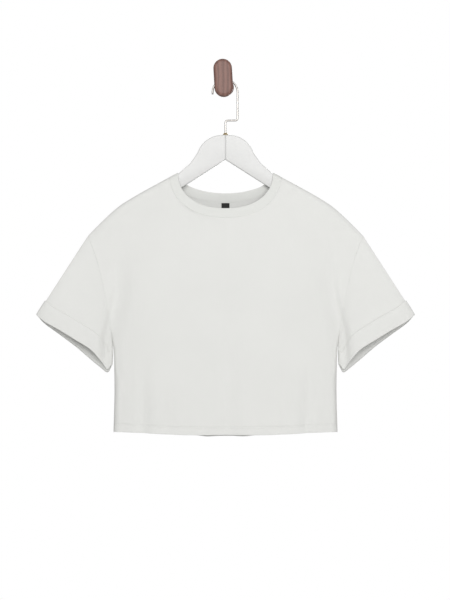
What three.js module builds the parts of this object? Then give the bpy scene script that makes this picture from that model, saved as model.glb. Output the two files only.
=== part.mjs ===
// A boxy cropped t-shirt with dropped shoulders and turned-up cuffs, hanging on a flat wooden hanger
// from a capsule-shaped wooden wall hook.
// Lengths are millimetres. +Z is up, -Y is the front, and the origin is on the wall, on the axis of
// the wall hook's stem. The garment is symmetric in cut, and its folds are uneven.
import * as THREE from "three";

// ---- driving dimensions ----
const CLOTH = 1.2; // wall of the jersey, seam allowance included
const GAP = 0.3; // between pieces that touch
const SEAM_GAP = 1; // along the neck and armhole seams, where the edges curve
const HANG_Y = -45; // plane of the hanger and of the garment's side folds
const NECK_HALF_WIDTH = 95;
const NECK_POINT_Z = -176.8; // top of the shoulder beside the neck
const FRONT_NECK_DROP = 71.5;
const BACK_NECK_DROP = 40;
const NECKBAND = 19; // height of the rib
const CUFF = 33; // height of the turn-up
const HEM_BAND = 15; // depth of the stitched hem

// Top edge of the garment: shoulder over the hanger, then the outer fold of the sleeve.
const TOP_FOLD = [
  { place: "neck point", x: NECK_HALF_WIDTH, z: NECK_POINT_Z },
  { place: "mid shoulder", x: 129, z: -194.5 },
  { place: "hanger tip", x: 193, z: -230.5 },
  { place: "off the tip", x: 227, z: -255.5 },
  { place: "sleeve seam", x: 275, z: -303.5 },
  { place: "upper arm", x: 291, z: -327 },
  { place: "lower arm", x: 340, z: -400 },
  { place: "cuff corner", x: 375.5, z: -460.5 },
];
const SLEEVE_SEAM_ROW = 4;

// Armhole seam from the shoulder to the underarm, then the side seam to the hem.
const SIDE = [
  { place: "sleeve seam", x: 275, z: -303.5 },
  { place: "upper armhole", x: 258, z: -345 },
  { place: "mid armhole", x: 242, z: -410 },
  { place: "low armhole", x: 231, z: -470 },
  { place: "underarm", x: 226, z: -515 },
  { place: "under the sleeve", x: 223.4, z: -532 },
  { place: "below the cuff", x: 222.5, z: -565 },
  { place: "waist", x: 222, z: -620 },
  { place: "hem corner", x: 224, z: -694 },
];
const UNDERARM_ROW = 4;

// Open end of the sleeve, from the underarm round to the outer fold, with its front and back edges.
const SLEEVE_END = [
  { place: "underarm", frontX: 228, frontZ: -559, backX: 228, backZ: -561 },
  { place: "low corner", frontX: 236.5, frontZ: -569, backX: 235.5, backZ: -575 },
  { place: "inner", frontX: 248, frontZ: -552, backX: 248, backZ: -567 },
  { place: "inner third", frontX: 268, frontZ: -529, backX: 268, backZ: -551 },
  { place: "middle", frontX: 298, frontZ: -509.5, backX: 299, backZ: -524 },
  { place: "outer third", frontX: 330, frontZ: -490, backX: 333, backZ: -498 },
  { place: "outer", frontX: 358, frontZ: -474, backX: 361, backZ: -477 },
  { place: "corner", frontX: 375.5, frontZ: -460.5, backX: 375.5, backZ: -460.5 },
];

// The valley where the sleeve hangs against the body. share is how far it closes the depth there.
const VALLEY = [
  { x: 209, z: -325, frontShare: 0, backShare: 0 },
  { x: 210, z: -350, frontShare: 0.16, backShare: 0.12 },
  { x: 211, z: -382, frontShare: 0.34, backShare: 0.24 },
  { x: 217, z: -420, frontShare: 0.48, backShare: 0.36 },
  { x: 227, z: -460, frontShare: 0.62, backShare: 0.46 },
  { x: 236, z: -500, frontShare: 0.72, backShare: 0.56 },
  { x: 240, z: -535, frontShare: 0.74, backShare: 0.58 },
  { x: 238, z: -575, frontShare: 0.7, backShare: 0.55 },
];
const VALLEY_BODY_WIDTH = 21; // a gentle slope towards the chest
const VALLEY_SLEEVE_WIDTH = 10; // and a sharp one up on to the sleeve

// Soft upright folds. depth is inwards at the hem, and top is where the fold starts.
const FRONT_FOLDS = [
  { x: 3, width: 24, depth: 4.5, top: -330 },
  { x: -163, width: 13, depth: 4.5, top: -500 },
  { x: -112, width: 12, depth: 1.6, top: -520 },
  { x: 112, width: 13, depth: 1.4, top: -560 },
  { x: 161, width: 12, depth: 5, top: -520 },
];
const BACK_FOLDS = [
  { x: -14, width: 30, depth: 4, top: -300 },
  { x: -138, width: 16, depth: 4, top: -480 },
  { x: 96, width: 14, depth: 2.4, top: -540 },
  { x: 152, width: 15, depth: 4.2, top: -500 },
];
const HEM_Z = -702;

// How far each layer stands off the hanging plane.
const FRONT = { side: -1, full: 24, folds: FRONT_FOLDS, share: "frontShare" };
const BACK = { side: 1, full: 20, folds: BACK_FOLDS, share: "backShare" };
const TOP_DEPTH = 8; // over the hanger's edge
const DEPTH_GROWS_OVER = 220;
const SHOULDER_ROUND = 8;
const SLEEVE_ROUND = 30;
const SIDE_ROUND = 13;
const SIDE_PINCH = 0.42; // the side folds are flatter than the middle
const SIDE_PINCH_WIDTH = 62;
const SLEEVE_SWING = 12; // the cuffs hang this far forward

// Hanger.
const HANGER_THICK = 11;
const HANGER_EDGE = 3.2;
const HANGER_TIP_X = 202;
const HANGER_UNDER_CLOTH = 3.6;
const HANGER_HEAD = [
  { place: "top", x: 0, z: -101 },
  { place: "crown", x: 18, z: -102.6 },
  { place: "crown side", x: 35, z: -109.5 },
  { place: "neck", x: 49, z: -123 },
  { place: "waist", x: 58, z: -140 },
  { place: "flare", x: 70, z: -156.5 },
  { place: "arm", x: 84, z: -169.5 },
];
const HANGER_NOTCH_Z = -150.5; // where the two lower edges meet
const HANGER_LOWER_SLOPE = 0.637;

// Metal hook of the hanger.
const WIRE = 3.8;
const HOOK_ARC = { x: -0.8, z: -15.2, radius: 25 };
const HOOK_STEP_Z = -72;
const HOOK_BEND = 5;
const HOOK_TIP_Z = -20;

// Wall hook.
const KNOB = { x: -4.5, z: 9.6, width: 37, height: 75, thick: 21, edge: 7, tilt: 3.3 };
const KNOB_BACK_Y = -58;
const STEM_RADIUS = 7.8;
const FLANGE = { radius: 17, thick: 5 };

// ---- small maths ----
const clamp01 = (v) => Math.min(1, Math.max(0, v));
const mix = (a, b, t) => a + (b - a) * t;
const smooth = (v) => clamp01(v) ** 2 * (3 - 2 * clamp01(v));
const bell = (v) => Math.exp(-v * v);
const fold = (v) => Math.sqrt(1 - (1 - clamp01(v)) ** 2); // a quarter circle from 0 to 1

// A smooth plane curve through points, as an even run of samples.
function smoothCurve(points, samples = 96) {
  const curve = new THREE.SplineCurve(points.map((p) => new THREE.Vector2(p.x, p.z)));
  return curve.getSpacedPoints(samples);
}

// The point a share of the way along a run of samples.
function along(samples, share) {
  const at = clamp01(share) * (samples.length - 1);
  const i = Math.min(samples.length - 2, Math.floor(at));
  return samples[i].clone().lerp(samples[i + 1], at - i);
}

// Distance from (x, z) to a run of samples, and the share of the run where it is nearest.
function nearest(samples, x, z) {
  const p = new THREE.Vector2(x, z);
  const step = new THREE.Vector2();
  const from = new THREE.Vector2();
  let best = { distance: Infinity, share: 0 };
  for (let i = 0; i + 1 < samples.length; i++) {
    step.subVectors(samples[i + 1], samples[i]);
    from.subVectors(p, samples[i]);
    const t = clamp01(from.dot(step) / step.lengthSq());
    const distance = from.addScaledVector(step, -t).length();
    if (distance < best.distance) best = { distance, share: (i + t) / (samples.length - 1) };
  }
  return best;
}

// A column of a table read at height z, with straight lines between rows.
function readAt(rows, column, z) {
  let i = 0;
  while (i < rows.length - 2 && z < rows[i + 1].z) i++;
  const t = clamp01((z - rows[i].z) / (rows[i + 1].z - rows[i].z));
  return mix(rows[i][column], rows[i + 1][column], t);
}

// ---- the garment's lines ----
const topFold = smoothCurve(TOP_FOLD, 160);
const foldLength = (topFold.length - 1) * topFold[0].distanceTo(topFold[1]);
const sideLine = smoothCurve(SIDE, 200);
const armhole = sideLine.filter((p) => p.y > SIDE[UNDERARM_ROW].z);
const bodySide = sideLine.filter((p) => p.y <= SIDE[UNDERARM_ROW].z);
armhole.push(new THREE.Vector2(SIDE[UNDERARM_ROW].x, SIDE[UNDERARM_ROW].z));
const creaseAbove = armhole.filter((p) => p.y < SIDE[UNDERARM_ROW].z + 95);
const valley = smoothCurve(VALLEY, 60);
const INNER_FOLD = [
  new THREE.Vector2(SIDE[UNDERARM_ROW].x, SIDE[UNDERARM_ROW].z),
  new THREE.Vector2(227.2, -525),
  new THREE.Vector2(SLEEVE_END[0].frontX, SLEEVE_END[0].backZ),
];
const halfWidthAt = (z) => {
  if (z >= SIDE[0].z) return SIDE[0].x;
  let i = 0;
  while (i < sideLine.length - 2 && z < sideLine[i + 1].y) i++;
  const t = clamp01((z - sideLine[i].y) / (sideLine[i + 1].y - sideLine[i].y));
  return mix(sideLine[i].x, sideLine[i + 1].x, t);
};

// Hem edge of the front and back panels.
const hemFront = (x) => HEM_Z + 2.5 + 5.5 * smooth((Math.abs(x) - 60) / 164);
const hemBack = (x) => HEM_Z - 2 + 9 * smooth((Math.abs(x) - 20) / 204) - 1.6 * bell((Math.abs(x) - 37) / 16);

// ---- the garment's depth ----
// How far the outer face of a layer stands off the hanging plane at (x, z), with x positive or negative.
// onSleeve picks the fold that bounds the piece below the underarm.
function depthAt(layer, x, z, onSleeve) {
  const ax = Math.abs(x);
  const top = nearest(topFold, ax, z).distance;
  const edge = mix(SHOULDER_ROUND, SLEEVE_ROUND, smooth((ax - 190) / 90));
  const grown = mix(TOP_DEPTH, layer.full, smooth(top / DEPTH_GROWS_OVER));
  const pinch = 1 - SIDE_PINCH * bell((ax - SIDE[UNDERARM_ROW].x) / SIDE_PINCH_WIDTH) * smooth(top / 90);
  let depth = grown * pinch * fold(top / edge);
  const trough = nearest(valley, ax, z);
  const inBody = ax < along(valley, trough.share).x;
  const reach = inBody ? VALLEY_BODY_WIDTH : VALLEY_SLEEVE_WIDTH;
  const share = readAt(VALLEY, layer.share, along(valley, trough.share).y);
  depth *= 1 - share * bell(trough.distance / reach);
  const below = z < SIDE[UNDERARM_ROW].z;
  const line = below ? (onSleeve ? INNER_FOLD : bodySide) : creaseAbove;
  const crease = nearest(line, ax, z);
  const strength = below ? 1 : smooth(crease.share);
  depth *= 1 - strength * (1 - fold(crease.distance / SIDE_ROUND));
  for (const f of layer.folds) {
    const drop = smooth((f.top - z) / (f.top - HEM_Z));
    depth -= onSleeve ? 0 : f.depth * bell((x - f.x) / f.width) * drop;
  }
  return Math.max(0, depth);
}
const middleY = (x) => HANG_Y - SLEEVE_SWING * smooth((Math.abs(x) - 205) / 165);

// A point on the outer face of a layer.
function clothPoint(layer, x, z, onSleeve = false, gap = GAP) {
  const y = middleY(x) + layer.side * (gap / 2 + depthAt(layer, x, z, onSleeve));
  return new THREE.Vector3(x, y, z);
}

// ---- sheets of cloth ----
// Normals of a grid of points, facing the side from which rows run down and columns run right-handed.
function gridNormals(grid, closed) {
  const rows = grid.length;
  const columns = grid[0].length;
  const pick = (r, c) => {
    const column = closed ? (c + columns) % columns : Math.min(columns - 1, Math.max(0, c));
    return grid[Math.min(rows - 1, Math.max(0, r))][column];
  };
  return grid.map((row, r) =>
    row.map((_, c) => {
      const across = new THREE.Vector3().subVectors(pick(r, c + 1), pick(r, c - 1));
      const down = new THREE.Vector3().subVectors(pick(r + 1, c), pick(r - 1, c));
      return new THREE.Vector3().crossVectors(down, across).normalize();
    }),
  );
}

// A closed wall between two grids of the same size, outer and inner. closed joins the last column
// to the first, as on a tube.
function wallBetween(outer, inner, closed) {
  const rows = outer.length;
  const columns = outer[0].length;
  const positions = [...outer.flat(), ...inner.flat()].flatMap((p) => [p.x, p.y, p.z]);
  const faces = [];
  const quad = (a, b, c, d) => faces.push(a, b, c, a, c, d);
  const at = (layer, r, c) => layer * rows * columns + r * columns + (c % columns);
  const spans = closed ? columns : columns - 1;
  for (let r = 0; r + 1 < rows; r++) {
    for (let c = 0; c < spans; c++) {
      quad(at(0, r, c), at(0, r + 1, c), at(0, r + 1, c + 1), at(0, r, c + 1));
      quad(at(1, r, c), at(1, r, c + 1), at(1, r + 1, c + 1), at(1, r + 1, c));
    }
    if (!closed) {
      quad(at(0, r, 0), at(1, r, 0), at(1, r + 1, 0), at(0, r + 1, 0));
      const last = columns - 1;
      quad(at(0, r, last), at(0, r + 1, last), at(1, r + 1, last), at(1, r, last));
    }
  }
  for (let c = 0; c < spans; c++) {
    quad(at(0, 0, c), at(0, 0, c + 1), at(1, 0, c + 1), at(1, 0, c));
    const last = rows - 1;
    quad(at(0, last, c), at(1, last, c), at(1, last, c + 1), at(0, last, c + 1));
  }
  const geometry = new THREE.BufferGeometry();
  geometry.setAttribute("position", new THREE.Float32BufferAttribute(positions, 3));
  geometry.setIndex(faces);
  geometry.computeVertexNormals();
  return geometry;
}

// Moves a grid along its normals, and keeps each point on its own side of the hanging plane.
// sideOf gives -1 for a front point, 1 for a back point and 0 for one on the fold.
function offsetGrid(grid, normals, distance, sideOf) {
  return grid.map((row, r) =>
    row.map((p, c) => {
      const moved = p.clone().addScaledVector(normals[r][c], distance);
      const side = sideOf(r, c);
      const limit = middleY(moved.x) + (side * GAP) / 2;
      if (side < 0) moved.y = Math.min(moved.y, limit);
      if (side > 0) moved.y = Math.max(moved.y, limit);
      return moved;
    }),
  );
}

// ---- materials ----
const finish = (color, roughness, metalness = 0) =>
  new THREE.MeshStandardMaterial({ color, roughness, metalness, side: THREE.DoubleSide });
const JERSEY = finish(0xe6e7e3, 0.9);
const RIB = finish(0xe4e5e0, 0.9);
const LABEL = finish(0x1a1a1a, 0.8);
const LACQUER = finish(0xefefec, 0.35);
const METAL = finish(0xc9c2b2, 0.3, 1);
const WALNUT = finish(0x85685f, 0.55);

const garment = new THREE.Group();
function piece(group, name, geometry, material) {
  const mesh = new THREE.Mesh(geometry, material);
  mesh.name = name;
  group.add(mesh);
  return mesh;
}

// ---- neck lines ----
const NECK_COLUMNS = 9; // from the middle to the shoulder
const neckShare = (i) => 1 - (1 - i / NECK_COLUMNS) ** 2; // closer together at the shoulder
const NECK_CURVE_POWER = 2.2; // a little fuller than an ellipse in front

// The neck edge at share a, from the middle (0) to the top of the shoulder (1), moved out by reach.
function neckPoint(layer, a, reach) {
  if (a === 1) {
    const p = along(topFold, (reach > NECKBAND ? reach + SEAM_GAP : reach) / foldLength);
    return { x: p.x, z: p.y };
  }
  const front = layer === FRONT;
  const drop = front ? FRONT_NECK_DROP : BACK_NECK_DROP;
  const power = front ? NECK_CURVE_POWER : 2;
  const angle = (a * Math.PI) / 2;
  const x = NECK_HALF_WIDTH * Math.sin(angle) ** (2 / power);
  const z = NECK_POINT_Z - drop * Math.cos(angle) ** (2 / power);
  const slope = Math.atan2(Math.sin(angle) * drop, Math.cos(angle) * NECK_HALF_WIDTH);
  const shoulderSlope = Math.atan2(TOP_FOLD[0].z - TOP_FOLD[1].z, TOP_FOLD[1].x - TOP_FOLD[0].x);
  const heading = -Math.PI / 2 + slope * (1 - shoulderSlope / (Math.PI / 2));
  return { x: x + reach * Math.cos(heading), z: z + reach * Math.sin(heading) };
}

// ---- body panels ----
const SHOULDER_COLUMNS = 9;
const TOP_ROWS = [0, 0.5, 2, 4.5, 8.5, 15, 26]; // distances below the panel's top edge
const BODY_ROWS = 13;

// Half of a panel's top edge, from the middle of the neck to the sleeve seam.
function panelTop(layer) {
  const points = [];
  for (let i = 0; i <= NECK_COLUMNS; i++) {
    points.push(neckPoint(layer, neckShare(i), NECKBAND + SEAM_GAP));
  }
  const start = (NECKBAND + 3 * SEAM_GAP) / foldLength;
  const end = nearest(topFold, SIDE[0].x, SIDE[0].z).share;
  for (let i = 1; i <= SHOULDER_COLUMNS; i++) {
    const p = along(topFold, mix(start, end, Math.sin(((i / SHOULDER_COLUMNS) * Math.PI) / 2)));
    points.push({ x: p.x, z: p.y });
  }
  points[points.length - 1] = { x: SIDE[0].x, z: SIDE[0].z };
  return points;
}

function panelGrid(layer) {
  const half = panelTop(layer);
  const top = [...half.slice(1).reverse().map((p) => ({ x: -p.x, z: p.z })), ...half];
  const hem = layer === FRONT ? hemFront : hemBack;
  const columns = top.map((p) => {
    const across = p.x / SIDE[0].x;
    const bottom = hem(across * SIDE.at(-1).x);
    const heights = TOP_ROWS.map((d) => p.z - d);
    const from = heights.at(-1);
    for (let r = 1; r < BODY_ROWS; r++) heights.push(mix(from, bottom + HEM_BAND, r / (BODY_ROWS - 1)));
    heights.push(bottom);
    return heights.map((z) => clothPoint(layer, across * halfWidthAt(z), z));
  });
  return columns[0].map((_, r) => columns.map((column) => column[r]));
}

// Front columns run towards +X and back columns towards -X, so that normals face outwards.
function addPanel(name, layer) {
  const grid = panelGrid(layer).map((row) => (layer === FRONT ? row : row.reverse()));
  const inner = offsetGrid(grid, gridNormals(grid, false), -CLOTH, () => layer.side);
  piece(garment, name, wallBetween(grid, inner, false), JERSEY);
}

// ---- sleeves and cuffs ----
const RING_HALF = 15; // steps from the underarm to the outer fold
const SLEEVE_ROWS = 7;
const CUFF_ROWS = 2;
const endFront = smoothCurve(SLEEVE_END.map((p) => ({ x: p.frontX, z: p.frontZ })));
const endBack = smoothCurve(SLEEVE_END.map((p) => ({ x: p.backX, z: p.backZ })));

// A point of the sleeve at share t round from the underarm (0) to the outer fold (1), and share s
// from the armhole seam (0) to the top of the cuff (1) and on to the open end (2).
function sleevePlanPoint(layer, t, s) {
  const seam = along(armhole, 1 - t);
  const end = along(layer === FRONT ? endFront : endBack, t);
  const length = seam.distanceTo(end);
  const cuffAt = Math.max(0.2, 1 - CUFF / length);
  const share = s <= 1 ? cuffAt * s : mix(cuffAt, 1, s - 1);
  const p = seam.lerp(end, share);
  p.x += SEAM_GAP * (1 - clamp01(s * 2));
  return p;
}

// Rings of a sleeve on the +X side: up the front from the underarm, over the outer fold and back.
function sleeveRings(shares) {
  const ringShare = (i) => (1 - Math.cos((i / RING_HALF) * Math.PI)) / 2;
  return shares.map((s) => {
    const ring = [];
    for (let i = 0; i < RING_HALF; i++) {
      const p = sleevePlanPoint(FRONT, ringShare(i), s);
      ring.push(clothPoint(FRONT, p.x, p.y, true, i ? GAP : 0));
    }
    for (let i = RING_HALF; i > 0; i--) {
      const p = sleevePlanPoint(BACK, ringShare(i), s);
      ring.push(clothPoint(BACK, p.x, p.y, true, i < RING_HALF ? GAP : 0));
    }
    ring[0].y = middleY(ring[0].x);
    ring[RING_HALF].y = middleY(ring[RING_HALF].x);
    return ring;
  });
}
const ringSide = (r, c) => (c % RING_HALF === 0 ? 0 : c < RING_HALF ? -1 : 1);

function addSleeve(side, mirror) {
  const flip = (rings) =>
    rings.map((ring) => ring.map((p) => new THREE.Vector3(p.x * mirror, p.y, p.z)));
  const arrange = (rings) => (mirror > 0 ? rings : rings.map((ring) => ring.slice().reverse()));
  const shares = Array.from({ length: SLEEVE_ROWS + 1 }, (_, i) => i / SLEEVE_ROWS);
  const cuffShares = Array.from({ length: CUFF_ROWS + 1 }, (_, i) => 1 + i / CUFF_ROWS);
  const rings = sleeveRings([...shares, ...cuffShares.slice(1)]);
  const inner = offsetGrid(rings, gridNormals(rings, true), -CLOTH, ringSide);
  const bands = sleeveRings(cuffShares);
  const normals = gridNormals(bands, true);
  const cuffInner = offsetGrid(bands, normals, GAP, () => 0);
  const cuffOuter = offsetGrid(bands, normals, GAP + CLOTH, () => 0);
  const wall = (a, b) => wallBetween(arrange(flip(a)), arrange(flip(b)), true);
  piece(garment, `sleeve_${side}`, wall(rings, inner), JERSEY);
  piece(garment, `cuff_${side}`, wall(cuffOuter, cuffInner), JERSEY);
}

// ---- neckband and label ----
function addNeckband() {
  const place = (layer, mirror, i, reach) => {
    const p = neckPoint(layer, neckShare(i), reach);
    return clothPoint(layer, mirror * p.x, p.z, false, i < NECK_COLUMNS ? GAP : 0);
  };
  const rows = [0, NECKBAND / 2, NECKBAND].map((reach) => {
    const ring = [];
    for (let i = 0; i < NECK_COLUMNS; i++) ring.push(place(FRONT, 1, i, reach));
    for (let i = NECK_COLUMNS; i > 0; i--) ring.push(place(BACK, 1, i, reach));
    for (let i = 0; i < NECK_COLUMNS; i++) ring.push(place(BACK, -1, i, reach));
    for (let i = NECK_COLUMNS; i > 0; i--) ring.push(place(FRONT, -1, i, reach));
    return ring;
  });
  const inner = offsetGrid(rows, gridNormals(rows, true), -CLOTH, () => 0);
  piece(garment, "neckband", wallBetween(rows, inner, true), RIB);
}

const LABEL_SIZE = { width: 16, height: 24, thick: 0.8 };

function addLabel() {
  const topZ = NECK_POINT_Z - BACK_NECK_DROP - NECKBAND;
  const rows = [0, 0.5, 1].map((v) =>
    [-1, 0, 1].map((u) => {
      const p = clothPoint(BACK, (u * LABEL_SIZE.width) / 2, topZ - v * LABEL_SIZE.height);
      p.y -= CLOTH + GAP + 0.3;
      return p;
    }),
  );
  const front = rows.map((row) => row.map((p) => p.clone().setY(p.y - LABEL_SIZE.thick)));
  piece(garment, "neck_label", wallBetween(front, rows, false), LABEL);
}

// ---- hanger ----
const hangerTop = topFold.map((p) => new THREE.Vector2(p.x, p.y - HANGER_UNDER_CLOTH));

// Outline of one arm of the hanger, on the +X side.
function hangerArmShape() {
  const tipTop = hangerTop.filter((p) => p.x > 97 && p.x < HANGER_TIP_X - 14);
  const head = smoothCurve([...HANGER_HEAD, { x: tipTop[0].x, z: tipTop[0].y }], 26);
  const lower = (x) => HANGER_NOTCH_Z - x * HANGER_LOWER_SLOPE;
  const tipZ = mix(tipTop.at(-1).y, lower(HANGER_TIP_X), 0.55);
  const shape = new THREE.Shape();
  const joint = GAP / 2;
  shape.moveTo(joint, lower(joint));
  shape.lineTo(joint, HANGER_HEAD[0].z);
  head.slice(1, -1).forEach((p) => shape.lineTo(p.x, p.y));
  tipTop.filter((_, i) => i % 9 === 0).forEach((p) => shape.lineTo(p.x, p.y));
  shape.quadraticCurveTo(HANGER_TIP_X, tipTop.at(-1).y - 9, HANGER_TIP_X, tipZ);
  shape.quadraticCurveTo(HANGER_TIP_X - 1, lower(HANGER_TIP_X - 8), HANGER_TIP_X - 22, lower(HANGER_TIP_X - 22));
  shape.closePath();
  return shape;
}

// An outline in X and Z, as thick as stated, centred on a plane of constant Y, with rounded edges.
function plate(shape, thick, edge, centreY, segments) {
  const geometry = new THREE.ExtrudeGeometry(shape, {
    depth: thick - 2 * edge,
    bevelEnabled: true,
    bevelThickness: edge,
    bevelSize: edge,
    bevelOffset: -edge,
    bevelSegments: segments,
    curveSegments: 6,
  });
  geometry.translate(0, 0, edge - thick / 2);
  geometry.rotateX(Math.PI / 2);
  geometry.translate(0, centreY, 0);
  return geometry;
}

function addHanger(group) {
  const arm = plate(hangerArmShape(), HANGER_THICK, HANGER_EDGE, HANG_Y, 2);
  piece(group, "hanger_arm_right", arm, LACQUER);
  piece(group, "hanger_arm_left", arm.clone(), LACQUER).scale.x = -1;
}

// A fillet between two straight runs of wire, as the two ends of a curve round a corner.
function bentWire(corners, radius) {
  const path = new THREE.CurvePath();
  let from = corners[0];
  for (let i = 1; i + 1 < corners.length; i++) {
    const back = corners[i - 1].clone().sub(corners[i]).setLength(radius).add(corners[i]);
    const on = corners[i + 1].clone().sub(corners[i]).setLength(radius).add(corners[i]);
    path.add(new THREE.LineCurve3(from, back));
    path.add(new THREE.QuadraticBezierCurve3(back, corners[i], on));
    from = on;
  }
  path.add(new THREE.LineCurve3(from, corners.at(-1)));
  return path;
}

// The hook's centreline: up from the hanger, a step to one side, up again and over in a half circle.
class HookLine extends THREE.Curve {
  constructor() {
    super();
    const { x, z, radius } = HOOK_ARC;
    const point = (px, pz) => new THREE.Vector3(px, HANG_Y, pz);
    const start = point(0, HANGER_HEAD[0].z + GAP);
    const riser = [start, point(0, HOOK_STEP_Z), point(x + radius, HOOK_STEP_Z), point(x + radius, z)];
    this.riser = bentWire(riser, HOOK_BEND);
    this.riserLength = this.riser.getLength();
    this.arcLength = Math.PI * radius;
    this.tip = z - HOOK_TIP_Z;
  }

  getPoint(t) {
    const { x, z, radius } = HOOK_ARC;
    const at = t * (this.riserLength + this.arcLength + this.tip);
    if (at <= this.riserLength) return this.riser.getPointAt(at / this.riserLength);
    const turn = Math.min(Math.PI, (at - this.riserLength) / radius);
    const past = Math.max(0, at - this.riserLength - this.arcLength);
    return new THREE.Vector3(x + radius * Math.cos(turn), HANG_Y, z + radius * Math.sin(turn) - past);
  }
}

function circleShape(radius, sides) {
  const shape = new THREE.Shape();
  for (let i = 0; i < sides; i++) {
    const angle = (2 * Math.PI * i) / sides;
    const method = i ? "lineTo" : "moveTo";
    shape[method](radius * Math.cos(angle), radius * Math.sin(angle));
  }
  shape.closePath();
  return shape;
}

function addHook(group) {
  const options = { steps: 64, extrudePath: new HookLine(), bevelEnabled: false };
  piece(group, "hanger_hook", new THREE.ExtrudeGeometry(circleShape(WIRE / 2, 10), options), METAL);
  const bore = WIRE / 2 + GAP;
  const collar = [
    [bore, 0],
    [5.2, 0],
    [5.2, 1],
    [3.4, 4],
    [bore, 4],
    [bore, 0],
  ].map(([r, h]) => new THREE.Vector2(r, h));
  const ferrule = piece(group, "hook_ferrule", new THREE.LatheGeometry(collar, 20), METAL);
  ferrule.rotation.x = Math.PI / 2;
  ferrule.position.set(0, HANG_Y, HANGER_HEAD[0].z + GAP);
}

// ---- wall hook ----
function addWallHook(group) {
  const half = KNOB.width / 2;
  const straight = KNOB.height / 2 - half;
  const shape = new THREE.Shape();
  shape.moveTo(half, -straight);
  shape.absarc(0, straight, half, 0, Math.PI, false);
  shape.absarc(0, -straight, half, Math.PI, 2 * Math.PI, false);
  const body = plate(shape, KNOB.thick, KNOB.edge, 0, 4);
  const knob = piece(group, "wall_hook_knob", body, WALNUT);
  knob.rotation.y = THREE.MathUtils.degToRad(-KNOB.tilt);
  knob.position.set(KNOB.x, KNOB_BACK_Y - KNOB.thick / 2, KNOB.z);
  const profile = [
    [0, 0],
    [FLANGE.radius, 0],
    [FLANGE.radius, FLANGE.thick],
    [STEM_RADIUS, FLANGE.thick],
    [STEM_RADIUS, -KNOB_BACK_Y - GAP],
    [0, -KNOB_BACK_Y - GAP],
  ].map(([r, h]) => new THREE.Vector2(r, h));
  const stem = piece(group, "wall_hook_stem", new THREE.LatheGeometry(profile, 32), WALNUT);
  stem.rotation.x = Math.PI;
}

// ---- the whole object ----
const holder = new THREE.Group();
addPanel("front_panel", FRONT);
addPanel("back_panel", BACK);
addSleeve("right", 1);
addSleeve("left", -1);
addNeckband();
addLabel();
addHanger(holder);
addHook(holder);
addWallHook(holder);

const object = new THREE.Group();
object.add(garment, holder);
export default object;
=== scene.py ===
"""Looks of a boxy cropped t-shirt on its wooden hanger, hanging from a wooden wall hook."""

import math
from typing import NamedTuple

import bmesh
import bpy
import numpy as np
from mathutils import Matrix, Vector


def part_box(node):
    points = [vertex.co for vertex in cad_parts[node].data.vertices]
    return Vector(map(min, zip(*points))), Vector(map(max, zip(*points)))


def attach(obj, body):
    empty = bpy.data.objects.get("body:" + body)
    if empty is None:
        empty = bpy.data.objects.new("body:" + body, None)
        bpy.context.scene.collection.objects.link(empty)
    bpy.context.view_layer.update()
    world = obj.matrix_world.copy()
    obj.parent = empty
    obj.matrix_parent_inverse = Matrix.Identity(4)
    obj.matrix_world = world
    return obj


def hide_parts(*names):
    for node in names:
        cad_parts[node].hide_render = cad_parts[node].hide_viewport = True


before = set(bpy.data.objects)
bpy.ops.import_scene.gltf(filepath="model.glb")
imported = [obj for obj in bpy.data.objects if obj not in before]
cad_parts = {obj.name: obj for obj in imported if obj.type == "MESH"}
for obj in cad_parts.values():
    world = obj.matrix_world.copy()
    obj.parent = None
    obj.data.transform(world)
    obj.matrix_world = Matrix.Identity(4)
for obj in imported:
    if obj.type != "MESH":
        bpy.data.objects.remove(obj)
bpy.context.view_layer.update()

bl_info = {
    "name": "T-shirt on a Hanger",
    "version": (1, 0, 0),
    "blender": (4, 5, 0),
    "location": "View3D > Sidebar > T-shirt",
    "description": "Builds a cropped t-shirt with its hanger, its wall hook and a plain studio",
    "category": "Object",
}

MM = 0.001

# ---- the cut of the garment, in millimetres, as the construction has it ----
HANG_Y = sum(corner.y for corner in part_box("hanger_arm_right")) / 2 / MM
NECK_HALF_WIDTH = 95
NECK_POINT_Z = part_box("neckband")[1].z / MM
FRONT_NECK_DROP = 71.5
BACK_NECK_DROP = 40
NECKBAND = 19
CUFF = 33
HEM_BAND = 15
HEM_Z = -702
UNDERARM = (226, -515)

# (x, z) along the shoulder, then the outer fold of the sleeve
TOP_FOLD = (
    (NECK_HALF_WIDTH, NECK_POINT_Z),
    (129, -194.5),
    (193, -230.5),
    (227, -255.5),
    (275, -303.5),
    (291, -327),
    (340, -400),
    (375.5, -460.5),
)

# (x, z) down the armhole seam to the underarm, then down the side to the hem
SIDE = (
    (275, -303.5),
    (258, -345),
    (242, -410),
    (231, -470),
    UNDERARM,
    (223.4, -532),
    (222.5, -565),
    (222, -620),
    (224, -694),
)

# (front x, front z, back x, back z) round the open end of the sleeve, from the underarm out
SLEEVE_END = (
    (228, -559, 228, -561),
    (236.5, -569, 235.5, -575),
    (248, -552, 248, -567),
    (268, -529, 268, -551),
    (298, -509.5, 299, -524),
    (330, -490, 333, -498),
    (358, -474, 361, -477),
    (375.5, -460.5, 375.5, -460.5),
)

# (x, z, front share, back share) down the valley where the sleeve hangs against the body
VALLEY = (
    (209, -325, 0, 0),
    (211, -350, 0.2, 0.12),
    (213, -382, 0.46, 0.24),
    (217, -420, 0.64, 0.36),
    (227, -460, 0.78, 0.46),
    (236, -500, 0.88, 0.56),
    (240, -535, 0.9, 0.58),
    (238, -575, 0.86, 0.55),
)
VALLEY_BODY_WIDTH = 21
VALLEY_SLEEVE_WIDTH = 10

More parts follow.
